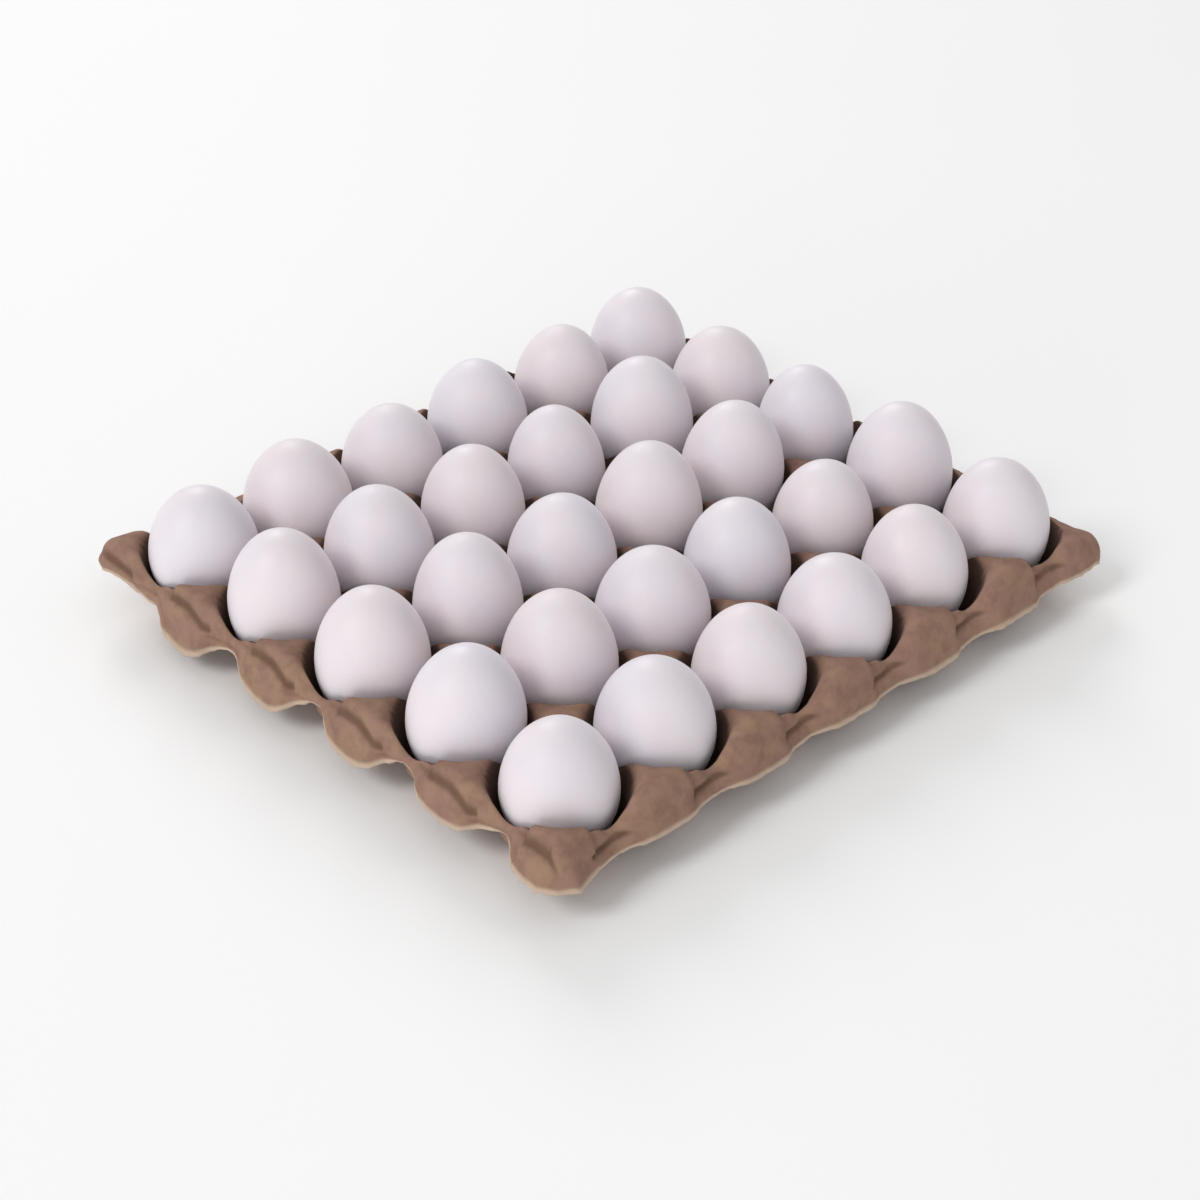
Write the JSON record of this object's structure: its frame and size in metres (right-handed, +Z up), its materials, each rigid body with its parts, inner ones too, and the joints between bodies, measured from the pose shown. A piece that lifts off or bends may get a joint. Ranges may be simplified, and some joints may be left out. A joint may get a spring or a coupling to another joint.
{
  "type": "filled egg tray",
  "caption": "Open rectangular moulded-pulp egg tray: a grid of deep cups with raised domed posts between them and a wavy outer rim, every cup holding an upright white hen's egg.",
  "frame": {"origin": "on the ground, below the middle of the tray", "axes": "+X along the tray's longer side, +Y along its shorter side, +Z up, from the tray's feet to the eggs' tips"},
  "size_m": [0.317, 0.2846, 0.0639],
  "materials": {
    "pulp": "rough unglazed moulded paper pulp",
    "shell": "smooth satin eggshell"
  },
  "bodies": {
    "root": {"tray": "pulp", "egg_1_1": "shell", "egg_1_2": "shell", "egg_1_3": "shell", "egg_1_4": "shell", "egg_1_5": "shell", "egg_1_6": "shell", "egg_2_1": "shell", "egg_2_2": "shell", "egg_2_3": "shell", "egg_2_4": "shell", "egg_2_5": "shell", "egg_2_6": "shell", "egg_3_1": "shell", "egg_3_2": "shell", "egg_3_3": "shell", "egg_3_4": "shell", "egg_3_5": "shell", "egg_3_6": "shell", "egg_4_1": "shell", "egg_4_2": "shell", "egg_4_3": "shell", "egg_4_4": "shell", "egg_4_5": "shell", "egg_4_6": "shell", "egg_5_1": "shell", "egg_5_2": "shell", "egg_5_3": "shell", "egg_5_4": "shell", "egg_5_5": "shell", "egg_5_6": "shell"}
  },
  "joints": []
}
